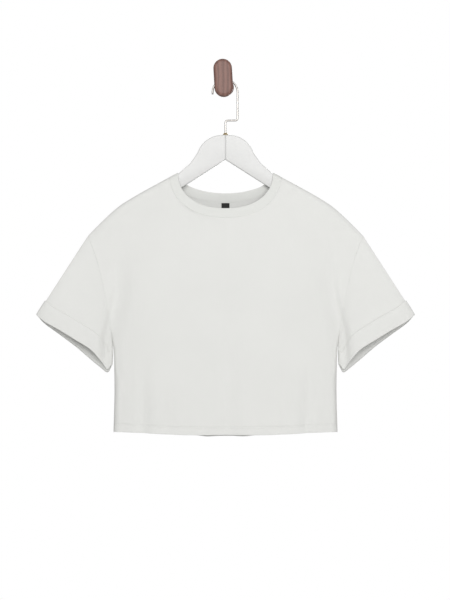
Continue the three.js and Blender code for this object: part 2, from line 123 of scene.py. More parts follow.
# (x, width, depth inwards at the hem, height where it starts) of the soft upright folds
FRONT_FOLDS = (
    (3, 22, 6, -330),
    (-163, 13, 4.5, -500),
    (-112, 12, 1.6, -520),
    (112, 13, 1.4, -560),
    (161, 12, 5, -520),
)
BACK_FOLDS = (
    (-14, 30, 4, -300),
    (-138, 16, 4, -480),
    (96, 14, 2.4, -540),
    (152, 15, 4.2, -500),
)
TOP_DEPTH = 8  # over the hanger's edge
DEPTH_GROWS_OVER = 220
SHOULDER_ROUND = 8
SLEEVE_ROUND = 30
SIDE_ROUND = 13
SIDE_ROUND_UNDER_CUFF = 5
CUFF_CLEAR_Z = -600  # the side turns sharper below this
SIDE_PINCH = 0.42  # the side folds are flatter than the middle
SIDE_PINCH_WIDTH = 62
CREASE_RISE = 30  # how far the side crease runs up past the underarm
SLEEVE_SWING = 12  # the cuffs hang this far forward
RIPPLE = 0.45
LAYER_GAP = 0.3  # between the front and the back where they meet
SEAM_OPEN = 0.05
SEAM_DIP = 0.14
SEAM_DIP_WIDTH = 1.2


# ---- small maths ----
def clamp01(v):
    return np.clip(v, 0, 1)


def mix(a, b, t):
    return a + (b - a) * t


def smooth(v):
    v = clamp01(v)
    return v * v * (3 - 2 * v)


def bell(v):
    return np.exp(-v * v)


def fold(v):
    """A quarter circle from 0 to 1."""
    return np.sqrt(1 - (1 - clamp01(v)) ** 2)


class Layer(NamedTuple):
    """The front or the back of the garment, which hang on either side of one plane."""

    side: int
    full: float  # how far it stands off the plane
    folds: tuple
    share: int  # its column in the valley's table
    neck_drop: float
    neck_power: float
    sleeve_end: "Line"


class Line:
    """A plane curve, kept as a run of (x, z) samples."""

    def __init__(self, run):
        self.run = run
        self.length = float(np.linalg.norm(np.diff(run, axis=0), axis=1).sum())

    def at(self, share):
        place = clamp01(np.asarray(share, float)) * (len(self.run) - 1)
        index = np.arange(len(self.run))
        return np.stack([np.interp(place, index, self.run[:, k]) for k in (0, 1)], -1)

    def nearest(self, x, z):
        """Distance from each (x, z), and the share of the line where it is nearest."""
        p = np.stack([np.ravel(x), np.ravel(z)], -1)
        start, step = self.run[:-1], np.diff(self.run, axis=0)
        size = (step * step).sum(-1)
        distance, share = np.empty(len(p)), np.empty(len(p))
        for low in range(0, len(p), 4000):
            part = p[low : low + 4000, None]
            t = clamp01(((part - start) * step).sum(-1) / size)
            gap = np.linalg.norm(part - start - step * t[..., None], axis=-1)
            best = gap.argmin(1)
            rows = np.arange(len(best))
            distance[low : low + 4000] = gap[rows, best]
            share[low : low + 4000] = (best + t[rows, best]) / len(step)
        return distance.reshape(np.shape(x)), share.reshape(np.shape(x))


def resample(points, count):
    """The same run of points, evenly spaced."""
    step = np.linalg.norm(np.diff(points, axis=0), axis=1)
    along = np.concatenate([[0], np.cumsum(step)])
    even = np.linspace(0, along[-1], count)
    return np.stack([np.interp(even, along, points[:, k]) for k in range(points.shape[1])], -1)


def smooth_line(points, samples=160):
    """A smooth curve through points, as a line of even samples."""
    p = np.array(points, float)[:, :2]
    ends = np.vstack([p[0], p, p[-1]])
    t = np.linspace(0, len(p) - 1, 60 * (len(p) - 1) + 1)
    i = np.minimum(t.astype(int), len(p) - 2)
    w = (t - i)[:, None]
    a, b, c, d = (ends[i + k] for k in range(4))
    m0, m1 = (c - a) / 2, (d - b) / 2
    cubic = 2 * b - 2 * c + m0 + m1
    square = -3 * b + 3 * c - 2 * m0 - m1
    return Line(resample(cubic * w**3 + square * w**2 + m0 * w + b, samples + 1))


def below(run, z):
    """The part of a run of samples that lies at z or lower."""
    return run[run[:, 1] <= z]


TOP = smooth_line(TOP_FOLD)
SIDE_LINE = smooth_line(SIDE, 200)
ARMHOLE = Line(np.vstack([SIDE_LINE.run[SIDE_LINE.run[:, 1] > UNDERARM[1]], UNDERARM]))
BODY_SIDE = Line(below(SIDE_LINE.run, UNDERARM[1]))
CREASE_ABOVE = Line(below(ARMHOLE.run, UNDERARM[1] + CREASE_RISE))
INNER_FOLD = smooth_line((UNDERARM, (227.2, -525), (SLEEVE_END[0][0], SLEEVE_END[0][3])), 20)
VALLEY_LINE = smooth_line(VALLEY, 60)
FRONT_END, BACK_END = (smooth_line([row[k : k + 2] for row in SLEEVE_END]) for k in (0, 2))
FRONT = Layer(-1, 24, FRONT_FOLDS, 2, FRONT_NECK_DROP, 2.2, FRONT_END)
BACK = Layer(1, 20, BACK_FOLDS, 3, BACK_NECK_DROP, 2, BACK_END)


def half_width(z):
    run = SIDE_LINE.run
    return np.interp(-np.asarray(z, float), -run[:, 1], run[:, 0])


def hem_z(layer, x):
    ax = np.abs(x)
    if layer is FRONT:
        return HEM_Z + 2.5 + 5.5 * smooth((ax - 60) / 164)
    return HEM_Z - 2 + 9 * smooth((ax - 20) / 204) - 1.6 * bell((ax - 37) / 16)


def ripple(x, z, side):
    """The slight unevenness of knitted cloth that hangs free."""
    a = np.sin(x * 0.031 + 1.3 * side) * np.sin(z * 0.019 + 0.7 + side)
    b = np.sin(x * 0.058 - z * 0.021 + 2.1 * side) * 0.45
    c = np.sin(x * 0.023 + z * 0.047 + 0.4) * 0.35
    return a + b + c


def depth_at(layer, x, z, on_sleeve=False):
    """How far the outer face of a layer stands off the hanging plane."""
    ax = np.abs(x)
    top, _ = TOP.nearest(ax, z)
    edge = mix(SHOULDER_ROUND, SLEEVE_ROUND, smooth((ax - 190) / 90))
    grown = mix(TOP_DEPTH, layer.full, smooth(top / DEPTH_GROWS_OVER))
    pinch = SIDE_PINCH * bell((ax - UNDERARM[0]) / SIDE_PINCH_WIDTH)
    depth = grown * (1 - pinch * smooth(top / 90)) * fold(top / edge)
    trough, share = VALLEY_LINE.nearest(ax, z)
    spot = VALLEY_LINE.at(share)
    reach = np.where(ax < spot[..., 0], VALLEY_BODY_WIDTH, VALLEY_SLEEVE_WIDTH)
    table = np.array(VALLEY)
    closes = np.interp(-spot[..., 1], -table[:, 1], table[:, layer.share])
    depth = depth * (1 - closes * bell(trough / reach))
    lower, _ = (INNER_FOLD if on_sleeve else BODY_SIDE).nearest(ax, z)
    upper, up = CREASE_ABOVE.nearest(ax, z)
    under = z < UNDERARM[1]
    crease = np.where(under, lower, upper)
    strength = np.where(under, 1, smooth(up))
    roundness = mix(SIDE_ROUND, SIDE_ROUND_UNDER_CUFF, smooth((z - CUFF_CLEAR_Z) / 30))
    depth = depth * (1 - strength * (1 - fold(crease / roundness)))
    if not on_sleeve:
        for middle, width, deep, start in layer.folds:
            drop = smooth((start - z) / (start - HEM_Z))
            depth = depth - deep * bell((x - middle) / width) * drop
    calm = smooth(top / 60) * smooth(crease / 40)
    depth = depth + RIPPLE * ripple(x, z, layer.side) * calm
    return np.maximum(0, depth)


def middle_y(x):
    return HANG_Y - SLEEVE_SWING * smooth((np.abs(x) - 205) / 165)


def cloth_points(layer, x, z, on_sleeve=False, relief=0, gap=LAYER_GAP):
    """Points of the outer face, with relief added to how far it stands out."""
    x, z = np.asarray(x, float), np.asarray(z, float)
    deep = np.maximum(0, depth_at(layer, x, z, on_sleeve) + relief)
    return np.stack([x, middle_y(x) + layer.side * (gap / 2 + deep), z], -1)


# ---- meshes ----
def grid_normals(grid, closed=False):
    """Outward normals of a grid whose rows run down and whose columns run right-handed."""
    if closed:
        across = np.roll(grid, -1, 1) - np.roll(grid, 1, 1)
    else:
        across = np.gradient(grid, axis=1)
    down = np.gradient(grid, axis=0)
    normals = np.cross(down, across)
    return normals / np.maximum(1e-9, np.linalg.norm(normals, axis=-1, keepdims=True))


def offset_grid(grid, normals, distance, side=None):
    """The grid moved along its normals. Given a side, each point stays on it, and 0 is either."""
    moved = grid + normals * np.asarray(distance)[..., None]
    if side is not None:
        limit = middle_y(moved[..., 0]) + side * LAYER_GAP / 2
        y = moved[..., 1]
        back = np.where(side > 0, np.maximum(y, limit), y)
        moved[..., 1] = np.where(side < 0, np.minimum(y, limit), back)
    return moved


def corner_table(rows, spans, closed):
    """The quads of a closed wall between two grids, as (layer, row, column) corners."""

    def quads(*corners):
        return np.stack([np.stack(np.broadcast_arrays(*corner), -1) for corner in corners], 1)

    r, c = (v.ravel() for v in np.mgrid[0 : rows - 1, 0:spans])
    faces = [
        quads((0, r, c), (0, r + 1, c), (0, r + 1, c + 1), (0, r, c + 1)),
        quads((1, r, c), (1, r, c + 1), (1, r + 1, c + 1), (1, r + 1, c)),
    ]
    r, c, last = np.arange(rows - 1), np.arange(spans), rows - 1
    faces.append(quads((0, 0, c), (0, 0, c + 1), (1, 0, c + 1), (1, 0, c)))
    faces.append(quads((0, last, c), (1, last, c), (1, last, c + 1), (0, last, c + 1)))
    if not closed:
        faces.append(quads((0, r, 0), (1, r, 0), (1, r + 1, 0), (0, r + 1, 0)))
        faces.append(quads((0, r, spans), (0, r + 1, spans), (1, r + 1, spans), (1, r, spans)))
    return np.concatenate(faces)


def new_object(name, mesh, finish):
    mesh.polygons.foreach_set("use_smooth", [True] * len(mesh.polygons))
    mesh.materials.clear()
    mesh.materials.append(material(finish))
    obj = bpy.data.objects.new(name, mesh)
    bpy.context.scene.collection.objects.link(obj)
    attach(obj, "root")
    return obj


def cloth_object(name, outer, inner, closed, finish, grain=None):
    """A closed wall of cloth between two grids in millimetres, with a UV map in metres.
    The map follows the grid, or it is given as grain, one (u, v) for each point of the grid."""
    rows, columns = outer.shape[:2]
    spans = columns if closed else columns - 1
    corners = corner_table(rows, spans, closed)
    layer, row, column = corners[..., 0], corners[..., 1], corners[..., 2]
    index = layer * rows * columns + row * columns + column % columns
    points = np.concatenate([outer.reshape(-1, 3), inner.reshape(-1, 3)]) * MM
    mesh = bpy.data.meshes.new(name)
    mesh.from_pydata(points.tolist(), [], index.tolist())
    middle = outer[rows // 2]
    around = np.vstack([middle, middle[:1]]) if closed else middle
    u = np.concatenate([[0], np.cumsum(np.linalg.norm(np.diff(around, axis=0), axis=1))]) * MM
    line = outer[:, columns // 4]
    v = np.concatenate([[0], np.cumsum(np.linalg.norm(np.diff(line, axis=0), axis=1))]) * MM
    follows = np.stack([u[column], v[row]], -1)
    uv = (follows if grain is None else grain[row, column] * MM).reshape(-1)
    mesh.uv_layers.new(name="cloth").data.foreach_set("uv", uv.astype(np.float32))
    mesh.validate()
    return new_object(name, mesh, finish)


def declare_sheet(outer, closed):
    """Works out the flat cut of a piece of cloth, its widest row, its longest column and its area,
    and returns none of them.
    """
    grid = np.concatenate([outer, outer[:, :1]], 1) if closed else outer
    width = np.linalg.norm(np.diff(grid, axis=1), axis=-1).sum(1).max() * MM
    length = np.linalg.norm(np.diff(grid, axis=0), axis=-1).sum(0).max() * MM
    diagonals = np.cross(grid[1:, 1:] - grid[:-1, :-1], grid[1:, :-1] - grid[:-1, 1:])
    area = np.linalg.norm(diagonals, axis=-1).sum() / 2 * MM * MM
    area = min(area, width * length)


# ---- shader maths ----
class Value:
    """A shader socket that takes part in Python expressions."""

    def __init__(self, nodes, socket):
        self.nodes = nodes
        self.socket = socket

    def _math(self, operation, a, b=None):
        return self.nodes.add("ShaderNodeMath", {"operation": operation}, {0: a, 1: b})

    def __add__(self, other):
        return self._math("ADD", self, other)

    def __mul__(self, other):
        return self._math("MULTIPLY", self, other)

    def wave(self):
        return self._math("SINE", self)


class Shader:
    """A material's nodes, with its Principled shader ready to be fed."""

    def __init__(self, name, roughness, metallic=0.0, sheen=0.0):
        self.material = bpy.data.materials.new(name)
        self.material.use_nodes = True
        self.tree = self.material.node_tree
        self.principled = self.tree.nodes["Principled BSDF"]
        self.principled.inputs["Roughness"].default_value = roughness
        self.principled.inputs["Metallic"].default_value = metallic
        self.principled.inputs["Sheen Weight"].default_value = sheen

    def add(self, kind, settings=None, inputs=None, output=0):
        node = self.tree.nodes.new(kind)
        for key, value in (settings or {}).items():
            if key == "stops":
                self.set_stops(node.color_ramp, value)
            else:
                setattr(node, key, value)
        for key, value in (inputs or {}).items():
            if value is not None:
                self.feed(node.inputs[key], value)
        return Value(self, node.outputs[output])

    @staticmethod
    def set_stops(ramp, stops):
        while len(ramp.elements) < len(stops):
            ramp.elements.new(0.5)
        for element, (place, color) in zip(ramp.elements, stops):
            element.position = place
            element.color = (*color, 1)

    def feed(self, socket, value):
        if isinstance(value, Value):
            self.tree.links.new(value.socket, socket)
        elif hasattr(value, "__len__") and socket.type == "RGBA":
            socket.default_value = (*value[:3], 1)
        else:
            socket.default_value = value

    def out(self, name, value):
        self.feed(self.principled.inputs[name], value)

    def place(self, kind="Object"):
        """Where each spot is, in the object's coordinates or on its UV map."""
        return self.add("ShaderNodeTexCoord", output=kind)

    def stretch(self, place, scale):
        return self.add("ShaderNodeVectorMath", {"operation": "MULTIPLY"}, {0: place, 1: scale})

    def axes(self, place):
        return [self.add("ShaderNodeSeparateXYZ", None, {0: place}, k) for k in range(3)]

    def noise(self, place, scale, detail=3.0, rough=0.5):
        sizes = {"Vector": place, "Scale": scale, "Detail": detail, "Roughness": rough}
        return self.add("ShaderNodeTexNoise", None, sizes, "Fac")

    def ramp(self, amount, stops):
        return self.add("ShaderNodeValToRGB", {"stops": stops}, {"Fac": amount}, "Color")

    def bump(self, height, distance):
        inputs = {"Height": height, "Distance": distance, "Strength": 1.0}
        self.out("Normal", self.add("ShaderNodeBump", None, inputs, "Normal"))


LOOP_RELIEF = 0.00016


def shade(color, share):
    return [c * share for c in color]


def knit_material(name, color, wale):
    """Knitted cotton: upright wales of small loops, uneven dye, and painted shade in the hollows
    between the loops, mixed with random specks.
    """
    s = Shader(name, 0.92, sheen=0.12)
    u, v, _ = s.axes(s.place("UV"))
    turn = 2 * math.pi / wale
    slant = (v * (turn * 0.5)).wave() * 0.6
    wales = (u * turn + slant).wave() * 0.5 + 0.5
    courses = (v * (turn * 1.25)).wave() * 0.5 + 0.5
    spots = s.noise(s.place(), 1400.0, 2.0)
    loops = wales * 0.62 + courses * 0.3
    s.bump(loops + spots * 0.35, LOOP_RELIEF)
    cloud = s.noise(s.place(), 9.0, 4.0, 0.6)
    tint = s.ramp(cloud, ((0.25, shade(color, 0.985)), (0.75, shade(color, 1.01))))
    # painted shade: the colour darkens where the loops' relief is low, with random specks mixed in
    specks_and_loop_shade = s.ramp(loops * 0.6 + spots * 0.4, ((0.1, (0.93, 0.93, 0.93)), (0.75, (1, 1, 1))))
    multiply = {"data_type": "RGBA", "blend_type": "MULTIPLY"}
    s.out("Base Color", s.add("ShaderNodeMix", multiply, {"Factor": 1.0, 6: tint, 7: specks_and_loop_shade}, 2))
    return s.material


def thread_material(name, color):
    s = Shader(name, 0.75, sheen=0.1)
    x, y, z = s.axes(s.place())
    twist = ((x + z) * 9000.0 + y * 5000.0).wave()
    # painted shade: the colour darkens in the grooves of the twist, following the bump's relief
    s.out("Base Color", s.ramp(twist * 0.5 + 0.5, ((0, shade(color, 0.93)), (1, color))))
    s.bump(twist, 0.00008)
    return s.material


def label_material(color):
    s = Shader("label_weave", 0.7)
    x, _, z = s.axes(s.place())
    weave = (x * 7800.0).wave() * (z * 7800.0).wave()
    # painted shade and highlight: the colour darkens between the woven threads and lightens on
    # their tops, following the weave's relief
    s.out("Base Color", s.ramp(weave * 0.5 + 0.5, ((0, shade(color, 0.7)), (1, shade(color, 1.4)))))
    s.bump(weave, 0.00012)
    return s.material


def lacquer_material(color):
    """White lacquer over beech, with the grain just felt through it."""
    s = Shader("white_lacquer", 0.36)
    s.principled.inputs["Coat Weight"].default_value = 0.25
    s.principled.inputs["Coat Roughness"].default_value = 0.18
    grain = s.noise(s.stretch(s.place(), (18, 160, 160)), 3.0, 5.0, 0.6)
    cloud = s.noise(s.place(), 22.0, 3.0)
    s.out("Base Color", s.ramp(cloud, ((0.3, shade(color, 0.985)), (0.7, color))))
    s.out("Roughness", grain * 0.12 + 0.3)
    s.bump(grain, 0.00012)
    return s.material


def metal_material(name, color, roughness):
    s = Shader(name, roughness, 1.0)
    scratches = s.noise(s.stretch(s.place(), (500, 500, 70)), 6.0, 4.0, 0.7)
    s.out("Base Color", s.ramp(scratches, ((0.3, shade(color, 0.93)), (0.7, color))))
    s.out("Roughness", scratches * 0.16 + (roughness - 0.08))
    s.bump(scratches, 0.00002)
    return s.material


def walnut_material(dark, light):
    """Oiled walnut with upright grain, open pores and darker growth lines."""
    s = Shader("oiled_walnut", 0.52)
    place = s.place()
    wander = s.noise(s.stretch(place, (14, 14, 3)), 4.0, 3.0)
    x, y, _ = s.axes(place)
    rings = ((x * 620.0 + y * 240.0) + wander * 16.0).wave() * 0.5 + 0.5
    pores = s.noise(s.stretch(place, (900, 900, 60)), 1.6, 3.0, 0.7)
    tone = rings * 0.34 + pores * 0.5 + wander * 0.22
    between = [mix(a, b, 0.55) for a, b in zip(dark, light)]
    s.out("Base Color", s.ramp(tone, ((0.3, dark), (0.56, between), (0.8, light))))
    s.out("Roughness", pores * 0.22 + 0.4)
    s.bump(pores + rings * 0.3, 0.00018)
    return s.material


# ---- settings ----
def color_setting(name, value, words):
    return bpy.props.FloatVectorProperty(
        name=name, description=words, subtype="COLOR", default=value, min=0, max=1
    )


def length_setting(name, value, words):
    return bpy.props.FloatProperty(
        name=name, description=words, default=value * MM, unit="LENGTH", subtype="DISTANCE", min=0
    )


class GarmentSettings(bpy.types.PropertyGroup):
    cloth: length_setting("Cloth", 1.2, "Thickness of the jersey")
    rib_pitch: length_setting("Rib pitch", 1.9, "Distance from one rib of the neckband to the next")
    rib_relief: length_setting("Rib relief", 0.22, "How far the ribs stand out")
    turn_up: length_setting("Turn-up", 1.5, "Thickness of the turned-up cuff")
    stitch_pitch: length_setting("Stitch pitch", 3.1, "Distance from one stitch to the next")
    stitch_length: length_setting("Stitch length", 2.5, "Length of thread that shows in a stitch")
    thread: length_setting("Thread", 0.42, "Thickness of the sewing thread")
    jersey: color_setting("Jersey", (0.71, 0.712, 0.69), "Colour of the jersey")
    rib: color_setting("Rib", (0.7, 0.705, 0.68), "Colour of the rib knit")
    thread_color: color_setting("Thread colour", (0.68, 0.68, 0.655), "Colour of the sewing thread")
    label: color_setting("Label", (0.014, 0.014, 0.014), "Colour of the neck label")


class HangerSettings(bpy.types.PropertyGroup):
    lacquer: color_setting("Lacquer", (0.58, 0.58, 0.57), "Colour of the wooden hanger")
    nickel: color_setting("Nickel", (0.47, 0.45, 0.425), "Colour of the hook")
    brass: color_setting("Brass", (0.74, 0.6, 0.36), "Colour of the collar under the hook")
    walnut_dark: color_setting("Walnut, dark", (0.135, 0.067, 0.053), "Darkest grain of the hook")
    walnut_light: color_setting("Walnut, light", (0.24, 0.125, 0.101), "Lightest grain of the hook")


def garment_settings():
    return bpy.context.scene.garment_settings


def hanger_settings():
    return bpy.context.scene.hanger_settings


# the slot named for each finish, and how it is made from the garment's and hanger's settings
FINISHES = {
    "jersey": ("jersey", lambda g, h: knit_material("cotton_jersey", g.jersey, 0.0011)),
    "rib": ("rib", lambda g, h: knit_material("cotton_rib", g.rib, 0.00095)),
    "thread": ("jersey", lambda g, h: thread_material("sewing_thread", g.thread_color)),
    "label": ("label", lambda g, h: label_material(g.label)),
    "lacquer": ("hanger_wood", lambda g, h: lacquer_material(h.lacquer)),
    "nickel": ("hook_metal", lambda g, h: metal_material("polished_nickel", h.nickel, 0.24)),
    "brass": ("ferrule_metal", lambda g, h: metal_material("polished_brass", h.brass, 0.28)),
    "walnut": ("walnut", lambda g, h: walnut_material(h.walnut_dark, h.walnut_light)),
}

_materials = {}


def material(finish):
    """One material of the object, made the first time it is asked for."""
    if finish not in _materials:
        _, make = FINISHES[finish]
        _materials[finish] = make(garment_settings(), hanger_settings())
    return _materials[finish]


# ---- lines of the neck ----
def neck_line(layer, shares, reach):
    """(x, z) of the neck edge from the middle (0) to the shoulder (1), moved out by reach."""
    angle = np.asarray(shares, float) * math.pi / 2
    sin, cos = np.sin(angle), np.cos(angle)
    power = 2 / layer.neck_power
    x = NECK_HALF_WIDTH * sin**power
    z = NECK_POINT_Z - layer.neck_drop * np.maximum(cos, 0) ** power
    slope = np.arctan2(sin * layer.neck_drop, cos * NECK_HALF_WIDTH)
    shoulder = math.atan2(TOP_FOLD[0][1] - TOP_FOLD[1][1], TOP_FOLD[1][0] - TOP_FOLD[0][0])
    heading = -math.pi / 2 + slope * (1 - shoulder / (math.pi / 2))
    line = np.stack([x + reach * np.cos(heading), z + reach * np.sin(heading)], -1)
    line[angle >= math.pi / 2 - 1e-6] = TOP.at(reach / TOP.length)
    return line


# ---- body ----
NECK_COLUMNS = 34
SHOULDER_COLUMNS = 58
TOP_STEPS = (0, 0.2, 0.5, 0.9, 1.4, 2.1, 3.1, 4.5, 6.4, 9, 12.5, 17, 23, 30)
HEM_STEPS = (20, 18.5, 17.4, 16.6, 15.8, 15, 14.2, 13.4, 12.4, 10, 7, 4.2, 2.2, 1.1, 0.5, 0.15, 0)
BODY_ROWS = 84
COLUMNS_SETTLE = 160  # columns that start on the neck edge are even this far below it
HEM_STITCHES = (13.4, 16.6)  # a twin needle's two rows, above the hem's edge
HEM_RELIEF = 0.25  # how far the doubled cloth stands out
HEM_GROOVE = 0.22
HEM_GROOVE_WIDTH = 0.9
HEM_EDGE_DROP = 0.6
HEM_EDGE_ROUND = 1.1
NO_SEAM_NEAR = 99


def panel_grid(layer):
    """Outer face of the front or back: rows run down from the top edge, columns from -X to +X."""
    shares = 1 - (1 - np.linspace(0, 1, 400)) ** 2
    neck = resample(neck_line(layer, shares, NECKBAND + SEAM_OPEN), NECK_COLUMNS + 1)[:-1]
    _, end = TOP.nearest(np.array([SIDE[0][0]]), np.array([SIDE[0][1]]))
    start = (NECKBAND + SEAM_OPEN) / TOP.length
    spread = 1 - (1 - np.arange(SHOULDER_COLUMNS + 1) / SHOULDER_COLUMNS) ** 1.6
    shoulder = TOP.at(mix(start, end[0], spread))
    half = np.vstack([neck, shoulder])
    top = np.vstack([half[:0:-1] * (-1, 1), half])
    neck_share = shoulder[0, 0] / SIDE[0][0]
    even = np.linspace(0, neck_share, NECK_COLUMNS + 1)[:-1]
    half_across = np.concatenate([even, shoulder[:, 0] / SIDE[0][0]])
    across = np.concatenate([-half_across[:0:-1], half_across])
    hem = hem_z(layer, across * SIDE[-1][0])
    upper = top[:, 1] - np.array(TOP_STEPS)[:, None]
    fall = np.linspace(0, 1, BODY_ROWS + 2)[1:-1, None]
    middle = mix(upper[-1], hem + HEM_STEPS[0], fall)
    lower = hem + np.array(HEM_STEPS)[:, None]
    z = np.vstack([upper, middle, lower])
    settled = smooth((top[:, 1] - z) / COLUMNS_SETTLE)
    x = mix(top[:, 0], across * half_width(z), settled)
    x = np.where(np.abs(across) >= neck_share, across * half_width(z), x)
    above_hem = z - hem
    relief = HEM_RELIEF * smooth((HEM_BAND + 1.5 - above_hem) / 4)
    for row in HEM_STITCHES:
        relief = relief - HEM_GROOVE * bell((above_hem - row) / HEM_GROOVE_WIDTH)
    relief = relief - HEM_EDGE_DROP * (1 - fold(above_hem / HEM_EDGE_ROUND))
    on_armhole = z > UNDERARM[1] - 6
    armhole_gap = np.where(on_armhole, half_width(z) - np.abs(x), NO_SEAM_NEAR)
    neck_gap, _ = Line(np.vstack([neck, shoulder[0]])).nearest(np.abs(x), z)
    for off_seam in (armhole_gap, neck_gap):
        relief = relief - SEAM_DIP * bell(off_seam / SEAM_DIP_WIDTH)
    return cloth_points(layer, x, z, relief=relief)


def build_panel(name, layer):
    grid = panel_grid(layer)
    if layer is BACK:
        grid = grid[:, ::-1]
    cloth = garment_settings().cloth / MM
    inner = offset_grid(grid, grid_normals(grid), np.full(grid.shape[:2], -cloth), layer.side)
    grain = grid[..., (0, 2)]
    return cloth_object(name, grid, inner, False, "jersey", grain), grid


class TSHIRT_OT_body(bpy.types.Operator):
    """Builds the front and back of the body"""

    bl_idname = "tshirt.body"
    bl_label = "Body"

    def execute(self, context):
        for word, layer in (("front", FRONT), ("back", BACK)):
            obj, grid = build_panel(f"body_{word}", layer)
            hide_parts(f"{word}_panel")
            declare_sheet(grid, False)
        return {"FINISHED"}


# ---- sleeves ----
RING_HALF = 64
SLEEVE_ROWS = 44
END_ROWS = 12
CUFF_STEPS = (0, 0.15, 0.4, 0.8, 1.5, 3, 6, 10, 15, 20, 25, 29, 31.5, 32.4, 33)
RIM_ROWS = 5
RIM_UNDER = -0.6  # how far the cuff's rim rolls in under the sleeve's end


def sleeve_rings(shares):
    """Rings of a sleeve: up its front from the underarm, over the outer fold and down its back.
    A share runs from the armhole (0) to the top of the cuff (1) and on to the open end (2)."""
    t = (1 - np.cos(np.arange(RING_HALF + 1) / RING_HALF * math.pi)) / 2
    shares = np.asarray(shares, float)[:, None]
    sides = []
    for layer in (FRONT, BACK):
        seam, end = ARMHOLE.at(1 - t), layer.sleeve_end.at(t)
        length = np.linalg.norm(end - seam, axis=-1)
        cuff_at = np.maximum(0.2, 1 - CUFF / length)
        place = np.where(shares <= 1, cuff_at * shares, mix(cuff_at, 1, shares - 1))
        p = seam + (end - seam) * place[..., None]
        p[..., 0] += SEAM_OPEN * (1 - clamp01(shares * 2))
        dip = -SEAM_DIP * bell(length * place / SEAM_DIP_WIDTH)
        points = cloth_points(layer, p[..., 0], p[..., 1], True, dip)
        points[:, (0, RING_HALF), 1] = middle_y(points[:, (0, RING_HALF), 0])
        sides.append(points)
    front, back = sides
    return np.concatenate([front[:, :-1], back[:, :0:-1]], 1)


def ring_sides():
    c = np.arange(2 * RING_HALF)
    return np.where(c % RING_HALF == 0, 0, np.where(c < RING_HALF, -1, 1))


def mirrored(grid, mirror):
    """The same rings for the sleeve on the other side, still facing outwards."""
    return grid if mirror > 0 else grid[:, ::-1] * (-1, 1, 1)


def build_sleeve(side, mirror):
    cloth = garment_settings().cloth / MM
    upper = np.linspace(0, 1, SLEEVE_ROWS + 1) ** 1.35
    shares = np.concatenate([upper, 1 + np.arange(1, END_ROWS + 1) / END_ROWS])
    rings = sleeve_rings(shares)
    normals = grid_normals(rings, True)
    inner = offset_grid(rings, normals, np.full(rings.shape[:2], -cloth), ring_sides())
    outer, inner = mirrored(rings, mirror), mirrored(inner, mirror)
    obj = cloth_object(f"sleeve_body_{side}", outer, inner, True, "jersey")
    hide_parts(f"sleeve_{side}")
    declare_sheet(outer, True)


def build_cuff(side, mirror):
    """The turned-up end of a sleeve: it stands off the sleeve and rolls under its open end."""
    thick = garment_settings().turn_up / MM
    steps = np.array(CUFF_STEPS)
    rings = sleeve_rings(1 + steps / CUFF)
    normals = grid_normals(rings, True)
    top_roll = fold(steps / 0.9) * 0.7 + 0.3
    lift = LAYER_GAP + thick * top_roll
    puff = 0.5 * np.sin(np.pi * clamp01(steps / CUFF)) ** 0.6
    outer = offset_grid(rings, normals, np.repeat((lift + puff)[:, None], rings.shape[1], 1))
    inner = offset_grid(rings, normals, np.full(rings.shape[:2], LAYER_GAP * 0.6))
    down = rings[-1] - rings[-2]
    down = down / np.maximum(1e-9, np.linalg.norm(down, axis=-1, keepdims=True))
    turn = np.arange(1, RIM_ROWS + 1)[:, None, None] / RIM_ROWS * math.pi / 2

    def rolled(start, drop):
        """Rows that go on from the last ring, in under the sleeve's open end."""
        inwards = mix(RIM_UNDER, start, np.cos(turn))
        return rings[-1] + normals[-1] * inwards + down * drop * np.sin(turn)

    outer = np.concatenate([outer, rolled(LAYER_GAP + thick, 1.1)])
    inner = np.concatenate([inner, rolled(LAYER_GAP * 0.6, 0.5)])
    outer, inner = mirrored(outer, mirror), mirrored(inner, mirror)
    obj = cloth_object(f"turn_up_{side}", outer, inner, True, "jersey")
    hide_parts(f"cuff_{side}")
    declare_sheet(outer, True)


class TSHIRT_OT_sleeves(bpy.types.Operator):
    """Builds both sleeves with their turned-up cuffs"""

    bl_idname = "tshirt.sleeves"
    bl_label = "Sleeves"

    def execute(self, context):
        for side, mirror in (("right", 1), ("left", -1)):
            build_sleeve(side, mirror)
            build_cuff(side, mirror)
        return {"FINISHED"}


# ---- neckband and label ----
BAND_STEPS = (0, 0.12, 0.4, 0.9, 1.6, 3, 5.5, 9, 12.5, 15.5, 17.2, 18.1, 18.7, 19)
COLUMNS_PER_RIB = 4
LABEL_WIDTH = 16
LABEL_HEIGHT = 24
LABEL_THICK = 0.7


def band_ring(reach, count, relief=0):
    """Evenly spaced points right round the neck at one distance from its edge."""
    shares = 1 - (1 - np.linspace(0, 1, 160)) ** 2.5
    front = neck_line(FRONT, shares, reach)
    back = neck_line(BACK, shares, reach)
    f = cloth_points(FRONT, front[:, 0], front[:, 1], relief=relief)
    b = cloth_points(BACK, back[:, 0], back[:, 1], relief=relief)
    f[-1, 1] = b[-1, 1] = HANG_Y
    right = np.vstack([f[:-1], b[::-1]])
    left = np.vstack([b[1:-1], f[::-1]]) * (-1, 1, 1)
    return resample(np.vstack([right, left]), count + 1)[:-1]


